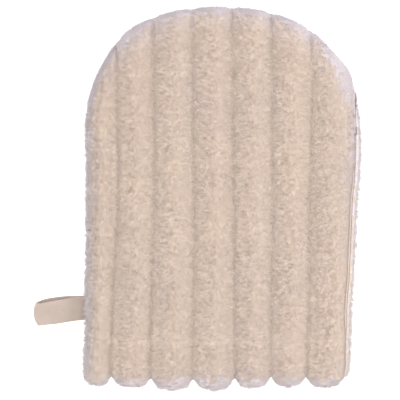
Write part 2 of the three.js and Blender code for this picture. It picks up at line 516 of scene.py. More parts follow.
class Surroundings:
    """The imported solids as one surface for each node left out, to find what hides a piece's faces."""

    def __init__(self) -> None:
        """Gathers the triangles of every solid."""
        self.meshes: dict[str, tuple[Array, Array]] = {
            name: (places_of(obj.data), triangles_of(obj.data)) for name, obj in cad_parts.items()
        }
        self.whole = self.without("")

    def without(self, node: str) -> BVHTree:
        """Builds a tree of all solids but one.

        Args:
            node: The node left out.

        Returns:
            The tree.
        """
        points, faces, start = [], [], 0
        for name, (co, triangles) in self.meshes.items():
            if name != node:
                points += co.tolist()
                faces += (triangles + start).tolist()
                start += len(co)
        return BVHTree.FromPolygons(points, faces, all_triangles=True)

    def surface_z(self, x: float, y: float, side: Side) -> float:
        """The height of one panel's outside straight above or below a place, or 0 beside the mitt."""
        hit = self.whole.ray_cast(Vector((x, y, side.value * 0.2)), Vector((0, 0, -side.value)))
        return hit[0].z if hit[0] is not None else 0.0

    def openness(self, node: str, points: Array, normals: Array, reach: float) -> Array:
        """How freely each point of a piece faces outwards.

        Args:
            node: The piece's own solid.
            points: Points on the piece.
            normals: Their normals.
            reach: How far off another solid stops mattering.

        Returns:
            0 where another solid lies against the point, up to 1 where none is near.
        """
        tree = self.without(node)
        back = 0.6 * MM
        result = np.ones(len(points))
        for i, (point, normal) in enumerate(zip(points - normals * back, normals)):
            hit = tree.ray_cast(Vector(point), Vector(normal), reach + back)
            if hit[0] is not None:
                result[i] = max(0.0, (hit[3] - 2.4 * back) / reach)
        return result

    def depths(self, points: Array, side: Side) -> Array:
        """How deep each point lies under its panel's outside, looked at squarely."""
        return np.array([(self.surface_z(x, y, side) - z) * side.value for x, y, z in points])


# Finishes


SOCKETS = {float: "NodeSocketFloat", tuple: "NodeSocketColor", type(None): "NodeSocketVector"}


def srgb(red: int, green: int, blue: int) -> Colour:
    """A display colour, 0 to 255 a channel, as the linear colour that a shader takes."""
    shares = (value / 255 for value in (red, green, blue))
    return (*(v / 12.92 if v <= 0.04045 else ((v + 0.055) / 1.055) ** 2.4 for v in shares), 1.0)


def feed(tree: NodeTree, node: Node, inputs: dict[str | int, object]) -> None:
    """Gives a node's inputs what they take.

    Args:
        tree: The tree that it is in.
        node: The node.
        inputs: Input names or places, each with a value or with another node's output.
    """
    for key, source in inputs.items():
        if isinstance(source, NodeSocket):
            tree.links.new(source, node.inputs[key])
        else:
            node.inputs[key].default_value = source


def add_node(tree: NodeTree, kind: str, inputs: dict[str | int, object], **settings: object) -> Items:
    """Adds a shader node.

    Args:
        tree: Where it goes.
        kind: Its type, without the start that all shader nodes share.
        inputs: What its inputs take, as feed has them.
        **settings: Its own properties.

    Returns:
        Its outputs.
    """
    node = tree.nodes.new(f"ShaderNode{kind}")
    for key, value in settings.items():
        setattr(node, key, value)
    feed(tree, node, inputs)
    return node.outputs


def new_material(name: str, inputs: dict[str | int, object]) -> tuple[Material, Node]:
    """Makes a node material.

    Args:
        name: Its name.
        inputs: The values of its shader.

    Returns:
        The material and its shader node.
    """
    material = bpy.data.materials.new(name)
    material.use_nodes = True
    shader = material.node_tree.nodes["Principled BSDF"]
    feed(material.node_tree, shader, inputs)
    return material, shader


def node_group(name: str, inputs: dict[str, object], output: str, kind: str) -> tuple[NodeTree, Items, Node]:
    """Starts a shader node group.

    Args:
        name: The group's name.
        inputs: Input names with their defaults: a number, a colour of four, or None for a vector.
        output: The output's name.
        kind: The output's socket type.

    Returns:
        The group, what its inputs give, and its output node.
    """
    group = bpy.data.node_groups.new(name, "ShaderNodeTree")
    for key, default in inputs.items():
        socket = group.interface.new_socket(key, in_out="INPUT", socket_type=SOCKETS[type(default)])
        if default is not None:
            socket.default_value = default
    group.interface.new_socket(output, in_out="OUTPUT", socket_type=kind)
    given = group.nodes.new("NodeGroupInput").outputs
    return group, given, group.nodes.new("NodeGroupOutput")


def mottle_group() -> NodeTree:
    """Colour that drifts between two shades in soft patches, with fine flecks over it.

    Returns:
        The node group.
    """
    grey = (0.5, 0.5, 0.5, 1.0)
    scales = {"Patch Scale": 30.0, "Fleck Scale": 900.0, "Fleck": 0.08}
    defaults = {"Vector": None, "Base": grey, "Drift": grey, **scales}
    group, given, result = node_group("mottle", defaults, "Color", "NodeSocketColor")
    where = given["Vector"]
    patches = add_node(group, "TexNoise", {"Detail": 3.0, "Vector": where, "Scale": given["Patch Scale"]})
    spread = add_node(group, "MapRange", {"From Min": 0.35, "From Max": 0.65, "Value": patches["Fac"]})
    shades = {"Factor": spread["Result"], "A": given["Base"], "B": given["Drift"]}
    blend = add_node(group, "Mix", shades, data_type="RGBA")
    flecks = add_node(group, "TexNoise", {"Vector": where, "Scale": given["Fleck Scale"]})
    centred = add_node(group, "Math", {0: flecks["Fac"], 1: 0.5}, operation="SUBTRACT")
    scaled = add_node(group, "Math", {0: centred[0], 1: given["Fleck"], 2: 1.0}, operation="MULTIPLY_ADD")
    tinted = add_node(group, "VectorMath", {0: blend["Result"], "Scale": scaled[0]}, operation="SCALE")
    feed(group, result, {"Color": tinted["Vector"]})
    return group


def weave_group() -> NodeTree:
    """Crossed yarns, as a height.

    Returns:
        The node group.
    """
    defaults = {"Vector": None, "Yarns": 1500.0, "Waviness": 0.15}
    group, given, result = node_group("weave", defaults, "Height", "NodeSocketFloat")
    where = given["Vector"]
    waves = {"Scale": given["Yarns"], "Distortion": given["Waviness"], "Detail": 1.0, "Vector": where}
    warp, weft = (add_node(group, "TexWave", waves, bands_direction=way)["Fac"] for way in "XY")
    product = add_node(group, "Math", {0: warp, 1: weft}, operation="MULTIPLY")
    feed(group, result, {"Height": product[0]})
    return group


@dataclass(frozen=True)
class Cloth:
    """A cloth finish with mottled colour and, where it has yarns, a weave."""

    name: str
    base: Colour
    drift: Colour
    roughness: float = 0.9
    sheen: float = 0.3
    patch_scale: float = 30.0
    fleck: float = 0.1
    yarns: float = 0.0
    relief: float = 0.0001

    def make(self, groups: dict[str, NodeTree]) -> Material:
        """Builds the material.

        Args:
            groups: The shared node groups by name.

        Returns:
            The material.
        """
        material, shader = new_material(self.name, {
            "Roughness": self.roughness, "Specular IOR Level": 0.2,
            "Sheen Weight": self.sheen, "Sheen Roughness": 0.5,
        })
        tree = material.node_tree
        where = add_node(tree, "TexCoord", {})["Object"]
        mottle = add_node(tree, "Group", {
            "Base": self.base, "Drift": self.drift, "Patch Scale": self.patch_scale, "Fleck": self.fleck,
            "Vector": where,
        }, node_tree=groups["mottle"])
        feed(tree, shader, {"Base Color": mottle["Color"]})
        if self.yarns:
            weave = add_node(tree, "Group", {"Yarns": self.yarns, "Vector": where}, node_tree=groups["weave"])
            relief = {"Strength": 0.5, "Distance": self.relief, "Height": weave["Height"]}
            feed(tree, shader, {"Normal": add_node(tree, "Bump", relief)["Normal"]})
        return material


@dataclass(frozen=True)
class Shade:
    """One of the plain shades that the fibres of the pile come in."""

    name: str
    colour: Colour

    def make(self) -> Material:
        """Builds the material.

        Returns:
            The material.
        """
        return new_material(self.name, {
            "Base Color": self.colour, "Roughness": 0.9, "Specular IOR Level": 0.15,
            "Sheen Weight": 0.25, "Sheen Roughness": 0.6,
        })[0]


# The first four shades are the pile's own tones. The other three are painted light: a pale cool painted sheen
# for the outline, a dimmer painted sheen for the sides and the cuff, and a paler painted light for the
# valleys between ribs.
SHADES = (
    Shade("fibre_warm", srgb(221, 203, 187)),
    Shade("fibre_cream", srgb(219, 206, 189)),
    Shade("fibre_rose", srgb(220, 199, 188)),
    Shade("fibre_deep", srgb(214, 197, 182)),
    Shade("fibre_cool", srgb(232, 223, 231)),
    Shade("fibre_pale", srgb(234, 220, 206)),
    Shade("fibre_mauve", srgb(220, 210, 214)),
)
WARM, CREAM, ROSE, DEEP, PAINTED_SHEEN, PAINTED_VALLEY_LIGHT, PAINTED_DIM_SHEEN = range(len(SHADES))


# The pile


@dataclass(frozen=True)
class Fleece:
    """Cut pile: how densely it stands, how long it is, and how it clumps."""

    density: float = 5.4e6
    length: float = 2.1 * MM
    width: float = 0.24 * MM
    sink: float = 0.5 * MM
    lean: float = 0.7
    clump: Triple = (3.4 * MM, 1.3 * MM, 9.0 * MM)
    clump_pull: float = 0.22
    normal_follow: float = 0.94
    parting_tilt: float = 0.22
    streak: Triple = (3.6 * MM, 0.62 * MM, 6.0 * MM)
    streak_tilt: float = 0.2
    rim_length: float = 1.5
    crest_lean: float = 0.45
    comb_turn: float = 0.22
    comb_down: Pair = (-0.15, -0.25)
    valley_upright: float = 0.6
    stray: float = 0.12
    evened_share: float = 0.6
    smooth_pull: float = 0.06
    covered_length: float = 0.3
    steep: Pair = (0.7, 0.25)
    floor_gap: float = 0.25 * MM
    drift_cell: Triple = (0.018, 0.05, 0.03)
    patch_cell: Triple = (0.004, 0.003, 0.004)

    def plant(self, pelt: "Pelt", name: str, seed: int) -> Object:
        """Plants fibres on a pelt.

        Args:
            pelt: The surface that they stand on.
            name: The new piece's name.
            seed: The seed of their places.

        Returns:
            The new object.
        """
        rng = np.random.default_rng(seed)
        roots, normals, soft, bare, parting = self.roots(pelt, rng)
        count = len(roots)
        pull, wild = self.tufts(roots, seed)
        side = np.tanh(parting / self.comb_turn)
        outward = np.column_stack((side, *(np.full(count, part) for part in self.comb_down)))
        comb = outward - normals * np.sum(outward * normals, axis=1, keepdims=True)
        loose = rng.normal(size=(count, 3))
        lean = self.lean * at_least(self.crest_lean, smoothstep(0.0, 0.5, np.abs(parting)))
        lean *= 1.0 - self.valley_upright * pelt.near_valley(roots)
        stray = self.stray + self.stray * rng.random(count) ** 2
        rough = pelt.roughness(roots, parting)
        way = normals * (1.0 - self.evened_share) + soft * self.evened_share
        way += comb * lean[:, None] + loose * stray[:, None]
        way += wild * (0.03 + 0.08 * rough)[:, None]
        way += pull * (self.clump_pull * at_least(self.smooth_pull, rough))[:, None] / self.length
        rim = smoothstep(*self.steep, np.abs(soft[:, 2])) * bare
        ragged = 1.0 + rim * (self.rim_length - 1.0) * (0.5 + wild[:, 0])
        lengths = self.length * (0.7 + 0.45 * rng.random(count)) * ragged
        lengths *= at_least(self.covered_length, bare)
        tips = roots + unit(way) * lengths[:, None]
        tips[:, 2] = np.maximum(tips[:, 2], self.floor_gap + 0.3 * MM * rng.random(count))
        bases = roots - normals * self.sink
        bases[:, 2] = np.maximum(bases[:, 2], self.floor_gap)
        laid = np.tanh((parting + 0.1) / 0.55) * self.parting_tilt
        streaks = rough * noise(roots, self.streak, seed + 5)
        laid = (laid + self.streak_tilt * streaks) * np.abs(soft[:, 2])
        shading = unit(soft + np.column_stack((laid, self.streak_tilt * streaks, np.zeros(count))))
        obj = self.spikes(name, bases, tips, shading, rng)
        self.dress(obj, roots, pelt, rng)
        return obj

    def roots(self, pelt: "Pelt", rng: Chance) -> tuple[Array, ...]:
        """Chooses where the fibres stand.

        Args:
            pelt: The surface that they stand on.
            rng: The source of chance.

        Returns:
            Their places, the normals there, the evened normals, how open each place is, and how far
            it is from the parting.
        """
        mesh = pelt.obj.data
        corners = triangles_of(mesh)
        co, normal = places_of(mesh), normals_of(mesh)
        a, b, c = (co[corners[:, k]] for k in range(3))
        area = np.linalg.norm(np.cross(b - a, c - a), axis=1) / 2
        bare = pelt.bare[corners].mean(axis=1)
        wanted = area * self.density * smoothstep(0.1, 0.4, bare)
        chosen = np.repeat(np.arange(len(corners)), rng.poisson(wanted))
        u, v = rng.random((2, len(chosen)))
        over = u + v > 1
        u[over], v[over] = 1 - u[over], 1 - v[over]
        weights = np.column_stack((1 - u - v, u, v))[:, :, None]
        tri = corners[chosen]
        places = (co[tri] * weights).sum(axis=1)
        ways = unit((normal[tri] * weights).sum(axis=1))
        soft = unit((pelt.soft_normal[tri] * weights).sum(axis=1))
        parting = (places[:, 0] - pelt.centre_x(places[:, 1])) / pelt.half_rib
        return places, ways, soft, (pelt.bare[tri] * weights[:, :, 0]).sum(axis=1), parting

    def tufts(self, roots: Array, seed: int) -> tuple[Array, Array]:
        """Finds the tuft that each fibre belongs to, one to each jittered cell.

        Args:
            roots: The fibres' places.
            seed: The seed of the tufts.

        Returns:
            The way from each fibre to its tuft's middle, and the tuft's own random lean.
        """
        size = np.array(self.clump)
        cell = np.floor(roots / size)
        best = np.full(len(roots), np.inf)
        middle = np.zeros_like(roots)
        owner = np.zeros_like(roots)
        for step in np.ndindex(3, 3, 3):
            near = cell + np.array(step) - 1
            jitter = np.column_stack([hashed(near, seed * 7 + k) for k in range(3)])
            centre = (near + jitter) * size
            gap = np.sum(((roots - centre) / size) ** 2, axis=1)
            closer = gap < best
            best[closer] = gap[closer]
            middle[closer] = centre[closer]
            owner[closer] = near[closer]
        wild = np.column_stack([hashed(owner, seed * 7 + 3 + k) for k in range(3)]) * 2 - 1
        return middle - roots, wild

    def spikes(self, name: str, bases: Array, tips: Array, normals: Array, rng: Chance) -> Object:
        """Makes the fibres as closed three-sided spikes, shaded with the pelt under them.

        Args:
            name: The piece's name.
            bases: Where each fibre starts.
            tips: Where it ends.
            normals: The pelt's normals there.
            rng: The source of chance.

        Returns:
            The new object.
        """
        count = len(bases)
        axis = unit(tips - bases)
        first = unit(np.cross(axis, rng.normal(size=(count, 3))))
        second = np.cross(axis, first)
        radius = (self.width / 2 * (0.75 + 0.5 * rng.random(count)))[:, None]
        verts = np.empty((count, 4, 3))
        shading = np.empty((count, 4, 3))
        for k in range(3):
            angle = 2 * math.pi * k / 3
            radial = first * math.cos(angle) + second * math.sin(angle)
            verts[:, k] = bases + radial * radius
            shading[:, k] = unit(normals * self.normal_follow + radial * (1 - self.normal_follow))
        verts[:, 3] = tips
        shading[:, 3] = unit(normals * self.normal_follow + axis * (1 - self.normal_follow))
        pattern = np.array(((0, 1, 3), (1, 2, 3), (2, 0, 3), (0, 2, 1)))
        faces = (pattern[None] + 4 * np.arange(count)[:, None, None]).reshape(-1)
        mesh = bpy.data.meshes.new(name)
        mesh.vertices.add(count * 4)
        mesh.vertices.foreach_set("co", verts.astype(np.float32).ravel())
        mesh.loops.add(len(faces))
        mesh.loops.foreach_set("vertex_index", faces.astype(np.int32))
        mesh.polygons.add(count * 4)
        mesh.polygons.foreach_set("loop_start", np.arange(0, len(faces), 3, dtype=np.int32))
        mesh.update(calc_edges=True)
        mesh.shade_smooth()
        mesh.normals_split_custom_set_from_vertices(shading.reshape(-1, 3).astype(np.float32))
        return add_object(name, mesh)

    def dress(self, obj: Object, roots: Array, pelt: "Pelt", rng: Chance) -> None:
        """Gives each fibre one of the shades, in drifting patches, cooler towards the outline where a sheen
        is painted, and paler near the valleys where light is painted over their shade.

        Args:
            obj: The fibres.
            roots: Their places.
            pelt: The surface that they stand on.
            rng: The source of chance.
        """
        for shade in SHADES:
            obj.data.materials.append(bpy.data.materials[shade.name])
        drift = noise(roots, self.drift_cell, Seed.DRIFT)
        patch = noise(roots, self.patch_cell, Seed.PATCH)
        chance = rng.random(len(roots))
        inset = pelt.place.inset(roots) + 1.5 * MM * noise(roots, (0.006, 0.006, 0.006), Seed.OUTLINE)
        top = smoothstep(0.045, 0.08, roots[:, 1])
        rim = smoothstep(15 * MM, 0.0, inset - 3 * MM * top)
        at_side = smoothstep(0.060, 0.070, np.abs(roots[:, 0]))
        dim_sheen_at = np.maximum(at_side, smoothstep(-0.088, -0.096, roots[:, 1]))
        pick = np.full(len(roots), WARM, np.int32)
        pick[chance < 0.38 + 0.3 * drift] = CREAM
        pick[chance > 0.66 + 0.2 * drift] = ROSE
        pick[chance > 0.86 - 0.08 * patch] = DEEP
        # Painted light: paler fibres near the valleys lift the shade that falls there.
        pick[chance < 0.9 * pelt.near_valley(roots) ** 3] = PAINTED_VALLEY_LIGHT
        # Painted sheen: cool, pale fibres along the outline, with the dimmer painted sheen at the sides and
        # the cuff.
        painted_sheen = rng.random(len(roots)) < 0.05 + 0.87 * rim
        pick[painted_sheen] = np.where(rng.random(int(painted_sheen.sum())) < (dim_sheen_at * (1.0 - top))[painted_sheen], PAINTED_DIM_SHEEN, PAINTED_SHEEN)
        obj.data.polygons.foreach_set("material_index", np.repeat(pick, 4).astype(np.int32))
        obj.data.update()


@dataclass
class Pelt:
    """A pile surface grown from a solid of its own, such as one rib or the turned-up cuff."""

    node: str
    middle_x: float
    x_range: Span = None
    half_rib: float = 11.1 * MM
    voxel: float = 0.85 * MM
    side: Side = Side.FRONT
    softening: int = 2
    shrink: float = 1.0 * MM
    streak_height: float = 0.07 * MM
    streak_cell: Triple = (3.6 * MM, 1.0 * MM, 6.0 * MM)
    fine_height: float = 0.03 * MM
    fine_cell: Triple = (1.4 * MM, 1.1 * MM, 1.4 * MM)
    broad_height: float = 0.06 * MM
    broad_cell: Triple = (8 * MM, 14 * MM, 9 * MM)
    valleys: tuple[float, ...] = ()
    valley_width: float = 5.5 * MM
    valley_fill: float = 0.25 * MM
    flush_in: float = 0.45 * MM
    valley_lift: float = 4.0
    hidden_depths: Pair = (2.2 * MM, 0.8 * MM)
    wall_thinning: float = 0.85
    overlap: float = 1.3 * MM
    overlap_reach: Pair = (2.6 * MM, 0.5 * MM)
    side_overlap: float = 0.4 * MM
    side_band: float = 12 * MM
    round_off: float = 1.8 * MM
    rim_lift: float = 1.1
    rim_width: float = 9 * MM
    lowest: float = 0.6 * MM
    own_normal: float = 0.3
    evening: int = 10
    hem_dent: float = 1.1 * MM
    hem_width: float = 1.5 * MM
    hem_y: float = -80.3 * MM
    reach: float = 2.6 * MM
    place: Layout = field(init=False)
    obj: Object = field(init=False)
    bare: Array = field(init=False)
    soft_normal: Array = field(init=False)

    def build(self, name: str, around: Surroundings, settling: Settling, seed: int) -> None:
        """Grows the pelt.

        Args:
            name: The piece's name.
            around: The solids round it.
            settling: How the mitt lies.
            seed: The seed of its tufts.
        """
        self.place = place = settling.place
        self.obj = evened(solid_copy(self.node, self.x_range), name, self.voxel, self.softening)
        mesh = self.obj.data
        co, normal = places_of(mesh), normals_of(mesh)
        free = around.openness(self.node, co, normal, self.reach)
        way = float(self.side.value)
        near = self.near_valley(co)
        beside = np.flatnonzero((near > 0.0) | (free < 0.95))
        inner = co[beside].copy()
        if self.valleys:
            low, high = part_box(self.node)
            inner[:, 0] = np.clip(inner[:, 0], low[0] + self.flush_in, high[0] - self.flush_in)
        depth, shown = np.zeros(len(co)), np.ones(len(co))
        depth[beside] = around.depths(inner, self.side)
        shown[beside] = smoothstep(*self.hidden_depths, depth[beside])
        co[:, 2] += way * depth * shown * (near > 0.0)
        wall = near * smoothstep(0.75, 0.35, np.abs(normal[:, 2]))
        self.bare = np.maximum(free, shown) * (1.0 - self.wall_thinning * wall)
        off_middle = (co[:, 0] - self.centre_x(co[:, 1])) / self.half_rib
        rough = self.roughness(co, off_middle)
        rise = self.streak_height * rough * (noise(co, self.streak_cell, seed) - 0.25)
        fine, broad = noise(co, self.fine_cell, seed + 1), noise(co, self.broad_cell, seed + 2)
        rise += self.fine_height * fine + self.broad_height * broad
        sewn = np.exp(-(((co[:, 1] - self.hem_y) / self.hem_width) ** 2))
        outside = smoothstep(0.2, 0.8, np.abs(normal[:, 2]))
        rise -= self.hem_dent * sewn * outside * (0.7 + 0.6 * noise(co, (0.02, 1.0, 1.0), Seed.HEM_DENT))
        drawn_in = self.shrink * (1.0 - 0.55 * outside)
        co = co + normal * ((rise - drawn_in) * free * (1.0 - near * outside))[:, None]
        inner_part = smoothstep(1 * MM, 7 * MM, place.inset(co))
        for edge in self.valleys:
            over = self.overlap if abs(edge) < place.side_x - self.side_band else self.side_overlap
            close = smoothstep(*self.overlap_reach, np.abs(co[:, 0] - edge))
            co[:, 0] += math.copysign(over, edge - self.middle_x) * close * inner_part
        co[:, 2] += way * self.valley_fill * shown * near
        inset = place.inset(co)
        co[:, 2] -= way * self.round_off * (1.0 - smoothstep(-2 * MM, 13 * MM, inset)) * outside
        co = settling.apply(co)
        co[:, 2] = np.maximum(co[:, 2], self.lowest)
        put_places(mesh, co)
        high = at_least(0.35, smoothstep(0.02, 0.07, co[:, 1]))
        lit = self.rim_lift * smoothstep(self.rim_width, 0.0, inset) * high + self.valley_lift * near**3
        outward = np.array((0.0, 0.0, way)) * lit[:, None]
        self.soft_normal = unit(softened_normals(mesh, self.evening) + outward)
        self.bare = self.bare * (1.0 - 0.45 * sewn * outside)
        shading = unit(self.own_normal * normals_of(mesh) + (1.0 - self.own_normal) * self.soft_normal)
        mesh.normals_split_custom_set_from_vertices(shading.astype(np.float32))

    def near_valley(self, points: Array) -> Array:
        """How near points are to a valley that the pile shares with its neighbour.

        Args:
            points: Points on the pelt.

        Returns:
            1 in the valley, down to 0 a few millimetres from it.
        """
        if not self.valleys:
            return np.zeros(len(points))
        gap = np.min(np.abs(points[:, :1] - np.array(self.valleys)), axis=1)
        return smoothstep(self.valley_width, 0.3 * MM, gap)

    def roughness(self, points: Array, off_middle: Array) -> Array:
        """Where the pile stands in ruffled tufts: from the rib's left foot to its parting.

        Args:
            points: Points on the rib.
            off_middle: How far each is from the parting, in half ribs.

        Returns:
            1 where it is ruffled, down to 0 where it lies smooth.
        """
        edge = 0.28 * noise(points, (1.0, 2.6 * MM, 1.0), Seed.RUFFLE_FINE)
        edge += 0.15 * noise(points, (1.0, 9 * MM, 1.0), Seed.RUFFLE_BROAD)
        return smoothstep(-0.85, -0.5, off_middle) * (1.0 - smoothstep(0.0, 0.25, off_middle + edge))

    def centre_x(self, y: Array) -> Array:
        """Where the rib's parting runs, at each place along it."""
        line = np.column_stack((np.full(len(y), self.middle_x), y, np.zeros(len(y))))
        return self.middle_x - 0.8 * MM + 1.4 * MM * noise(line, (0.01, 0.014, 1.0), Seed.PARTING)


# The cloth under the pile


@dataclass(frozen=True)
class GroundKnit:
    """One panel's knitted ground cloth, or the part of it between two planes across the mitt."""

    node: str
    x_range: Span
    step: float = 4 * MM
    wrinkle: float = 0.25 * MM

    def build(self, name: str, settling: Settling) -> Object:
        """Shapes the cloth.

        Args:
            name: The piece's name.
            settling: How the mitt lies.

        Returns:
            The new object.
        """
        bm = solid_copy(self.node, self.x_range)
        low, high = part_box(self.node)
        for axis in (0, 1):
            count = round((high[axis] - low[axis]) / self.step)
            across = Vector((1.0 - axis, axis, 0.0))
            for index in range(1, count):
                cut(bm, across * (low[axis] + (high[axis] - low[axis]) * index / count), across)
        obj = finished(bm, name)
        co = settling.apply(places_of(obj.data))
        flat = np.column_stack((co[:, :2], np.zeros(len(co))))
        edge = smoothstep(0.003, 0.012, np.abs(co[:, 2] - settling.place.middle_z) + 0.004)
        co[:, 2] += self.wrinkle * edge * noise(flat, (0.012, 0.02, 1.0), Seed.WRINKLE)
        put_places(obj.data, co)
        return obj


# The sewing


@dataclass(frozen=True)
class HemStitches:
    """The row of stitches that holds the turned-up cuff, inside it and out.

    Each one bows away from the cloth, and its ends go down into it.
    """

    pitch: float = 4.4 * MM
    length: float = 2.5 * MM
    radius: float = 0.36 * MM
    drop: float = 0.9 * MM
    turn: float = 0.12
    valley_sink: float = 0.5 * MM
    rib_sink: float = 2.3 * MM

    def runs(self, side: Side, span: Pair, around: Surroundings, valleys: Array, seed: int) -> list[Array]:
        """Follows the thread of each stitch.

        Args:
            side: The panel.
            span: The part of the row wanted, across the mitt.
            around: The solids round it.
            valleys: Where the valleys between ribs are, across the mitt.
            seed: The seed of the stitches' unevenness.

        Returns:
            The points of each stitch, as it was sewn.
        """
        low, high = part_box(f"{side.word}_hem_stitch")
        y, inner_z = (low[1] + high[1]) / 2, (low[2] + high[2]) / 2
        rng = np.random.default_rng(seed)
        t = np.linspace(-1.0, 1.0, 9)
        drop = self.drop * np.abs(t) ** 3
        runs = []
        for x in np.arange(max(low[0], span[0]) + self.pitch / 2, min(high[0], span[1]), self.pitch):
            near = float(np.min(np.abs(valleys - x)))
            hidden = float(smoothstep(1.5 * MM, 6 * MM, near))
            sink = self.valley_sink + (self.rib_sink - self.valley_sink) * hidden
            outer_z = around.surface_z(x, y, side) - side.value * sink
            for z, bow in ((inner_z, -side.value), (outer_z, side.value)):
                half = self.length / 2 * (0.9 + 0.2 * rng.random())
                turn = rng.normal() * self.turn
                runs.append(np.column_stack((x + half * t, y + half * t * turn, z - bow * drop)))
        return runs


@dataclass(frozen=True)
class Overlock:
    """The overlocked edge inside the pocket: a cord of cloth edge with thread wound round it."""

    arch_start_y: float = 30 * MM
    arch_handle_y: float = 79.2 * MM
    arch_handle_x: float = 46.1 * MM
    wind_radius: float = 0.42 * MM
    wind_pitch: float = 2.2 * MM
    thread: float = 0.17 * MM

    def line(self) -> Array:
        """Follows the seam up one side, round the fingertips and down the other.

        Returns:
            Even points along it.
        """
        low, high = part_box("seam_overlock")
        radius = (high[2] - low[2]) / 2
        x, top, z = high[0] - radius, high[1] - radius, (low[2] + high[2]) / 2
        t = np.linspace(0.0, 1.0, 120)[:, None]
        start, tip = np.array((x, self.arch_start_y)), np.array((0.0, top))
        pull, lift = np.array((x, self.arch_handle_y)), np.array((self.arch_handle_x, top))
        arch = start * (1 - t) ** 3 + 3 * pull * t * (1 - t) ** 2 + 3 * lift * t**2 * (1 - t) + tip * t**3
        half = np.vstack(((x, low[1]), arch))
        other = half[::-1][1:] * (-1, 1)
        whole = np.vstack((half, other))
        gone = np.concatenate(((0.0,), np.cumsum(np.linalg.norm(np.diff(whole, axis=0), axis=1))))
        at = np.linspace(0.0, gone[-1], int(gone[-1] / (self.wind_pitch / 6)))
        return np.column_stack([np.interp(at, gone, whole[:, k]) for k in range(2)] + [np.full(len(at), z)])

    def runs(self) -> list[Array]:
        """The cloth edge's cord and the two threads round it."""
        line = self.line()
        along = unit(np.gradient(line, axis=0))
        side = unit(np.cross(along, (0.0, 0.0, 1.0)))
        up = np.cross(side, along)
        wound = []
        for phase in (0.0, math.pi):
            angle = phase + 2 * math.pi * np.arange(len(line))[:, None] / 6
            wound.append(line + self.wind_radius * (side * np.cos(angle) + up * np.sin(angle)))
        return [line[::6]] + wound


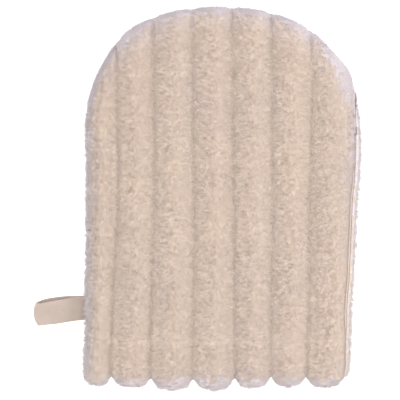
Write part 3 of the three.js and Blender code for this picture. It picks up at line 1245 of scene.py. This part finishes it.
@dataclass(frozen=True)
class HangingLoop:
    """A tape folded in two, with its ends sewn into the side seam."""

    layer: float = 1.45 * MM
    tip_drop: float = 3.9 * MM
    tip_narrowing: float = 0.9
    near_shift: float = -0.25 * MM
    far_shift: float = 1.35 * MM
    crease: float = 0.3 * MM

    def build(self) -> Object:
        """Shapes the loop from the seam out to its fold and back.

        Returns:
            The new object.
        """
        low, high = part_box("hanging_loop")
        radius = (high[2] - low[2] - self.layer) / 2
        return self.strip("hanging_loop_tape", self.side_line(low, high, radius), (low[1], high[1]))

    def side_line(self, low: Vector, high: Vector, radius: float) -> Array:
        """Follows the tape seen from its edge.

        Args:
            low: The low corner of the solid's box.
            high: The high corner.
            radius: The fold's radius at the middle of the tape.

        Returns:
            Points of X, height, how far out along the loop they are, and which layer they are in.
        """
        middle_z = (low[2] + high[2]) / 2
        root, bend = high[0] + 2.6 * MM, low[0] + radius + self.layer / 2
        t = np.linspace(0.0, 1.0, 30)[:-1]
        rise = smoothstep(0.0, 0.75, t)
        out_x = root + (bend - root) * t
        out_z = middle_z + self.layer / 2 + (radius - self.layer / 2) * rise
        angle = np.linspace(math.pi / 2, -math.pi / 2, 17)
        fold_x, fold_z = bend - radius * np.cos(angle), middle_z + radius * np.sin(angle)
        back_z = 2 * middle_z - out_z[::-1]
        x = np.concatenate((out_x, fold_x, out_x[::-1]))
        z = np.concatenate((out_z, fold_z, back_z))
        share = (root - x) / (root - low[0])
        upper = (z - middle_z + radius) / (2 * radius)
        return np.column_stack((x, z, share, upper))

    def strip(self, name: str, line: Array, y_range: Pair) -> Object:
        """Lays a tape along a line.

        Args:
            name: The piece's name.
            line: Its points, as side_line gives them.
            y_range: The tape's two edges where it leaves the seam.

        Returns:
            The new object.
        """
        across = 14
        bm = bmesh.new()
        bmesh.ops.create_grid(bm, x_segments=len(line) - 1, y_segments=across, size=0.5)
        obj = finished(bm, name)
        grid = places_of(obj.data)
        index = np.rint((grid[:, 0] + 0.5) * (len(line) - 1)).astype(int)
        x, z, share, upper = line[index].T
        middle, half = (y_range[0] + y_range[1]) / 2, (y_range[1] - y_range[0]) / 2
        edge = grid[:, 1] * 2
        narrow = 1.0 - (1.0 - self.tip_narrowing) * np.maximum(share, 0.0) ** 2
        peek = smoothstep(-0.05, 0.45, share) * (1.0 - 0.5 * smoothstep(0.75, 1.0, share))
        shift = peek * (self.far_shift + (self.near_shift - self.far_shift) * upper)
        y = middle + half * edge * narrow + shift - self.tip_drop * share * np.abs(share) ** 0.1
        low_edge = np.maximum(-edge, 0.0)
        x = x + smoothstep(0.8, 1.0, share) * MM * (1.2 * np.abs(edge) ** 3 + 1.2 * low_edge**1.5)
        place = np.column_stack((x, y, np.sign(upper - 0.5)))
        fade = smoothstep(0.03, 0.2, share)
        z = z + self.crease * fade * noise(place, (6 * MM, 9 * MM, 1.0), Seed.CREASE)
        z = z - self.crease * 0.9 * fade * np.abs(edge) ** 6 * np.sign(upper - 0.5)
        put_places(obj.data, np.column_stack((x, y, z)))
        thick = obj.modifiers.new("thickness", "SOLIDIFY")
        thick.thickness = self.layer
        thick.offset = 0.0
        rounded = obj.modifiers.new("soft_edges", "BEVEL")
        rounded.width = 0.42 * MM
        rounded.segments = 3
        rounded.limit_method = "ANGLE"
        rounded.angle_limit = math.radians(50)
        obj = applied(obj)
        bm = bmesh.new()
        bm.from_mesh(obj.data)
        bmesh.ops.recalc_face_normals(bm, faces=bm.faces)
        bm.to_mesh(obj.data)
        bm.free()
        obj.data.shade_smooth()
        return obj

    def tails(self, upper: bool) -> Object:
        """Shapes one of the tape's two ends inside the seam.

        Args:
            upper: Whether it is the upper one.

        Returns:
            The new object.
        """
        low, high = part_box("loop_tails")
        middle_z = (low[2] + high[2]) / 2
        x = np.linspace(low[0], high[0], 16)
        way = 1.0 if upper else -1.0
        z = np.full(len(x), middle_z + way * (self.layer / 2 + 0.03 * MM))
        line = np.column_stack((x, z, np.full(len(x), -0.02), np.full(len(x), 0.5 + 0.5 * way)))
        return self.strip(f"loop_tail_{'upper' if upper else 'lower'}", line, (low[1], high[1]))

    def bartack(self) -> Object:
        """Sews the close zigzag that holds the tape's ends."""
        low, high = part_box("loop_bartack")
        count = 44
        t = np.arange(count)
        x = np.where(t % 2 == 0, low[0] + 0.2 * MM, high[0] - 0.2 * MM)
        y = np.linspace(low[1] + 0.2 * MM, high[1] - 0.2 * MM, count)
        z = np.full(count, (low[2] + high[2]) / 2)
        return thread_runs("loop_bartack_zigzag", [np.column_stack((x, y, z))], 0.2 * MM)


# The studio


@dataclass(frozen=True)
class Studio:
    """A white floor under soft light from the right, seen from straight above."""

    lens_mm: float = 100.0
    view_width: float = 230.2 * MM
    view_centre: Pair = (-11.5 * MM, -1.15 * MM)
    focus_z: float = 17 * MM
    sky: float = 1.16
    key_power: float = 5.5
    floor_glow: float = 0.55

    def build(self) -> None:
        """Makes the camera, the floor and the lights."""
        scene = bpy.context.scene
        scene.view_settings.view_transform = "Standard"
        camera = bpy.data.cameras.new("camera")
        camera.lens = self.lens_mm
        camera.clip_start = 0.01
        distance = self.view_width * self.lens_mm / camera.sensor_width
        view = bpy.data.objects.new("camera", camera)
        view.location = (*self.view_centre, self.focus_z + distance)
        scene.collection.objects.link(view)
        scene.camera = view
        self.floor()
        self.light("key_light", (0.62, 0.12, 0.9), 0.9, self.key_power)
        self.light("fill_light", (-0.6, -0.5, 1.0), 0.9, 0.25 * self.key_power)
        world = bpy.data.worlds.new("studio")
        world.use_nodes = True
        world.node_tree.nodes["Background"].inputs["Color"].default_value = (1.0, 1.0, 1.0, 1.0)
        world.node_tree.nodes["Background"].inputs["Strength"].default_value = self.sky
        scene.world = world

    def light(self, name: str, place: Triple, size: float, power: float) -> None:
        """Adds a square soft light that faces the mitt.

        Args:
            name: Its name.
            place: Where it hangs.
            size: The length of its side.
            power: Its power in watts.
        """
        lamp = bpy.data.lights.new(name, "AREA")
        lamp.size = size
        lamp.energy = power
        obj = bpy.data.objects.new(name, lamp)
        obj.location = place
        obj.rotation_euler = (-Vector(place)).to_track_quat("-Z", "Y").to_euler()
        bpy.context.scene.collection.objects.link(obj)

    def floor(self) -> None:
        """Lays the floor."""
        bm = bmesh.new()
        bmesh.ops.create_grid(bm, x_segments=1, y_segments=1, size=3.0)
        obj = finished(bm, "floor", smooth=False)
        white = (1.0, 1.0, 1.0, 1.0)
        material, _ = new_material("floor_white", {
            "Base Color": (0.93, 0.93, 0.93, 1.0), "Roughness": 0.9, "Specular IOR Level": 0.0,
            "Emission Color": white, "Emission Strength": self.floor_glow,
        })
        obj.data.materials.append(material)


# The mitt


class WashMitt:
    """The whole mitt, built panel by panel."""

    def __init__(self) -> None:
        """Reads the frame and makes the shared finishes."""
        self.place = Layout.read()
        self.settling = Settling(self.place)
        self.around = Surroundings()
        groups = {"mottle": mottle_group(), "weave": weave_group()}
        self.plush = Cloth("plush_roots", srgb(210, 191, 176), srgb(206, 188, 177), fleck=0.06).make(groups)
        # Painted sheen: a pale cool base colour for the pelt along the outline, under the painted sheen of
        # the fibres there.
        rim = Cloth("plush_roots_rim", srgb(214, 203, 202), srgb(213, 202, 202), fleck=0.05)
        self.plush_rim = rim.make(groups)
        self.knit = Cloth("knit", srgb(198, 178, 164), srgb(190, 172, 162), yarns=1700.0).make(groups)
        self.thread = Cloth("thread", srgb(232, 220, 208), srgb(222, 208, 198), roughness=0.7).make(groups)
        self.piping = Cloth("seam_cord", srgb(218, 200, 184), srgb(212, 195, 181)).make(groups)
        tape = Cloth("tape", srgb(179, 164, 152), srgb(191, 173, 165), patch_scale=90.0, yarns=2400.0)
        self.tape = tape.make(groups)
        # Painted shade: a darker grey for the tape's narrow edges and the tip of its fold, where shade falls.
        self.tape_edge = Cloth("tape_edge", srgb(160, 147, 139), srgb(168, 154, 147)).make(groups)
        for shade in SHADES:
            shade.make()

    def build(self) -> None:
        """Builds every piece of the mitt."""
        for side in Side:
            self.build_knit(side)
            self.build_ribs(side)
            self.build_hem(side)
            self.build_hem_stitches(side)
        self.build_seam()
        self.build_loop()

    def spans(self, side: Side) -> dict[str, Span]:
        """Divides a panel across: the front is in three parts, and the back is left whole.

        Args:
            side: The panel.

        Returns:
            Where each part lies, by the end of its name.
        """
        if side is Side.BACK:
            return {"": None}
        low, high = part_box("front_rib_4")
        far = 0.1
        return {"_left": (-far, low[0]), "_middle": (low[0], high[0]), "_right": (high[0], far)}

    def middle_of(self, node: str, span: Span) -> float:
        """The middle, across the mitt, of a node's part between two planes, or 0 for the whole node."""
        low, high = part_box(node)
        return 0.0 if span is None else (max(span[0], low[0]) + min(span[1], high[0])) / 2

    def valleys(self) -> Array:
        """Where the valleys between the front's ribs are, across the mitt."""
        count = self.place.rib_count
        return np.array([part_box(f"front_rib_{index + 1}")[1][0] for index in range(count - 1)])

    def build_knit(self, side: Side) -> None:
        """Builds one panel's ground cloth.

        Args:
            side: The panel.
        """
        node = f"{side.word}_ground_knit"
        for part, span in self.spans(side).items():
            obj = GroundKnit(node, span).build(f"{side.word}_knit{part}", self.settling)
            self.dress(obj, self.knit, "knit_ground")
            self.hold(obj, side, self.middle_of(node, span))
            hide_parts(node)

    def build_hem_stitches(self, side: Side) -> None:
        """Builds the stitches of one panel's cuff.

        Args:
            side: The panel.
        """
        node = f"{side.word}_hem_stitch"
        stitches, valleys = HemStitches(), self.valleys()
        for part, span in self.spans(side).items():
            runs = stitches.runs(side, span or (-0.1, 0.1), self.around, valleys, Seed.STITCHES)
            runs = [self.settling.apply(run) for run in runs]
            obj = thread_runs(f"{side.word}_hem_stitches{part}", runs, stitches.radius)
            self.dress(obj, self.thread, "sewing_thread")
            self.hold(obj, side, self.middle_of(node, span))
            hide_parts(node)

    def build_seam(self) -> None:
        """Builds the overlocked edge inside and the seam line that shows at the right."""
        overlock = Overlock()
        core, *wound = [self.settling.apply(run) for run in overlock.runs()]
        edge = thread_runs("seam_cloth_edge", [core], overlock.wind_radius - overlock.thread / 2, 8)
        self.dress(edge, self.knit, "knit_ground")
        thread = thread_runs("seam_overlock_threads", wound, overlock.thread)
        self.dress(thread, self.thread, "sewing_thread")
        _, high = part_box("front_rib_7")
        y = np.linspace(-79 * MM, 22 * MM, 90)
        x = np.full(len(y), high[0] - 0.15 * MM)
        heights = [self.around.surface_z(at - 0.6 * MM, along, Side.FRONT) for at, along in zip(x, y)]
        z = np.array(heights)
        z += 0.25 * MM - 2.5 * MM * (smoothstep(0.012, 0.022, y) + smoothstep(-0.071, -0.079, y))
        line = self.settling.apply(np.column_stack((x, y, z)))
        piping = thread_runs("side_seam_line", [line], 0.3 * MM, 8)
        self.dress(piping, self.piping, "sewing_thread")
        for obj in (edge, thread, piping):
            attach(obj, "back")
        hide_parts("seam_overlock")

    def build_loop(self) -> None:
        """Builds the hanging loop, its ends in the seam, and their stitching."""
        shape = HangingLoop()
        loop = shape.build()
        self.dress(loop, self.tape, "loop_tape")
        low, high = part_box("hanging_loop")
        loop.data.materials.append(self.tape_edge)
        # The tape's edges and the tip of its fold take the painted shade.
        for face in loop.data.polygons:
            if abs(face.normal.y) > 0.5 or face.center.x < low[0] + 0.9 * MM:
                face.material_index = 1
        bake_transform(loop)
        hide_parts("hanging_loop")
        for upper in (True, False):
            tail = shape.tails(upper)
            self.dress(tail, self.tape, "loop_tape")
            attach(tail, "back")
            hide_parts("loop_tails")
        tack = shape.bartack()
        self.dress(tack, self.thread, "sewing_thread")
        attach(tack, "back")
        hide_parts("loop_bartack")

    def dress(self, obj: Object, material: Material, slot: str) -> None:
        """Gives a piece its finish.

        Args:
            obj: The piece.
            material: Its material.
            slot: Not used.
        """
        obj.data.materials.clear()
        obj.data.materials.append(material)
        log.info("%s: %d faces", obj.name, len(obj.data.polygons))

    def build_ribs(self, side: Side) -> None:
        """Builds one panel's pile.

        Args:
            side: The panel.
        """
        half_rib, last = Pelt.half_rib, self.place.rib_count - 1
        for index in range(self.place.rib_count):
            node = f"{side.word}_rib_{index + 1}"
            low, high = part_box(node)
            middle_x, edges = (low[0] + high[0]) / 2, (low[0], high[0])
            if index == 0:
                middle_x, edges = high[0] - half_rib, (high[0],)
            elif index == last:
                middle_x, edges = low[0] + half_rib, edges if side is Side.FRONT else (low[0],)
            fleece, voxel = Fleece(), Pelt.voxel
            if side is Side.BACK:
                fleece, voxel = Fleece(density=2.5e6), 1.05 * MM
            pelt = Pelt(node, middle_x, voxel=voxel, side=side, valleys=edges)
            self.grow(pelt, fleece, side, node.replace("rib", "pile"), Seed.RIBS + 10 * index)

    def build_hem(self, side: Side) -> None:
        """Builds the cuff's turned-up pile, inside the mouth.

        Args:
            side: The panel.
        """
        node = f"{side.word}_hem"
        fleece = Fleece(density=2.2e6, length=1.2 * MM, lean=0.25)
        for part, span in self.spans(side).items():
            pelt = Pelt(
                node, self.middle_of(node, span), span,
                side=side, half_rib=0.08, shrink=0.4 * MM, hem_dent=0.0, reach=1.5 * MM,
            )
            self.grow(pelt, fleece, side, node + part, Seed.CUFF)

    def grow(self, pelt: Pelt, fleece: Fleece, side: Side, name: str, seed: int) -> None:
        """Grows a pelt with its fibres and joins both to their panel.

        Args:
            pelt: The surface.
            fleece: Its pile.
            side: Its panel.
            name: The name that both pieces start with.
            seed: The seed of its tufts.
        """
        seed += 0 if side is Side.FRONT else 500
        pelt.build(f"{name}_base", self.around, self.settling, seed)
        mesh = pelt.obj.data
        mesh.materials.clear()
        for material in (self.plush, self.plush_rim):
            mesh.materials.append(material)
        middles = rows_of(mesh.polygons, "center")
        # Faces near the outline take the painted sheen colour.
        ragged = 4 * MM * noise(middles, (0.003, 0.003, 0.004), Seed.RIM)
        painted_sheen_at = self.place.inset(middles) + ragged < 5 * MM
        mesh.polygons.foreach_set("material_index", painted_sheen_at.astype(np.int32))
        fibres = fleece.plant(pelt, f"{name}_fibres", seed)
        for obj in (pelt.obj, fibres):
            self.hold(obj, side, pelt.middle_x)
        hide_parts(pelt.node)
        log.info("%s: %d faces, %d fibres", name, len(pelt.obj.data.polygons), len(fibres.data.polygons) // 4)

    def hold(self, obj: Object, side: Side, x: float) -> None:
        """Joins a piece to its panel: the back's pieces and the middle of the front follow their panel, and
        the front's side parts stay where they are.

        Args:
            obj: The piece.
            side: Its panel.
            x: Where it lies across the mitt.
        """
        if side is Side.BACK:
            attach(obj, "back")
            return
        low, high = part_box("front_rib_4")
        if low[0] <= x <= high[0]:
            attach(obj, "front")
            return
        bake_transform(obj)


def main() -> None:
    """Builds the studio and the mitt."""
    logging.basicConfig(level=logging.INFO, format="%(name)s: %(message)s")
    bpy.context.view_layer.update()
    Studio().build()
    mitt = WashMitt()
    mitt.build()


if __name__ == "__main__":
    main()
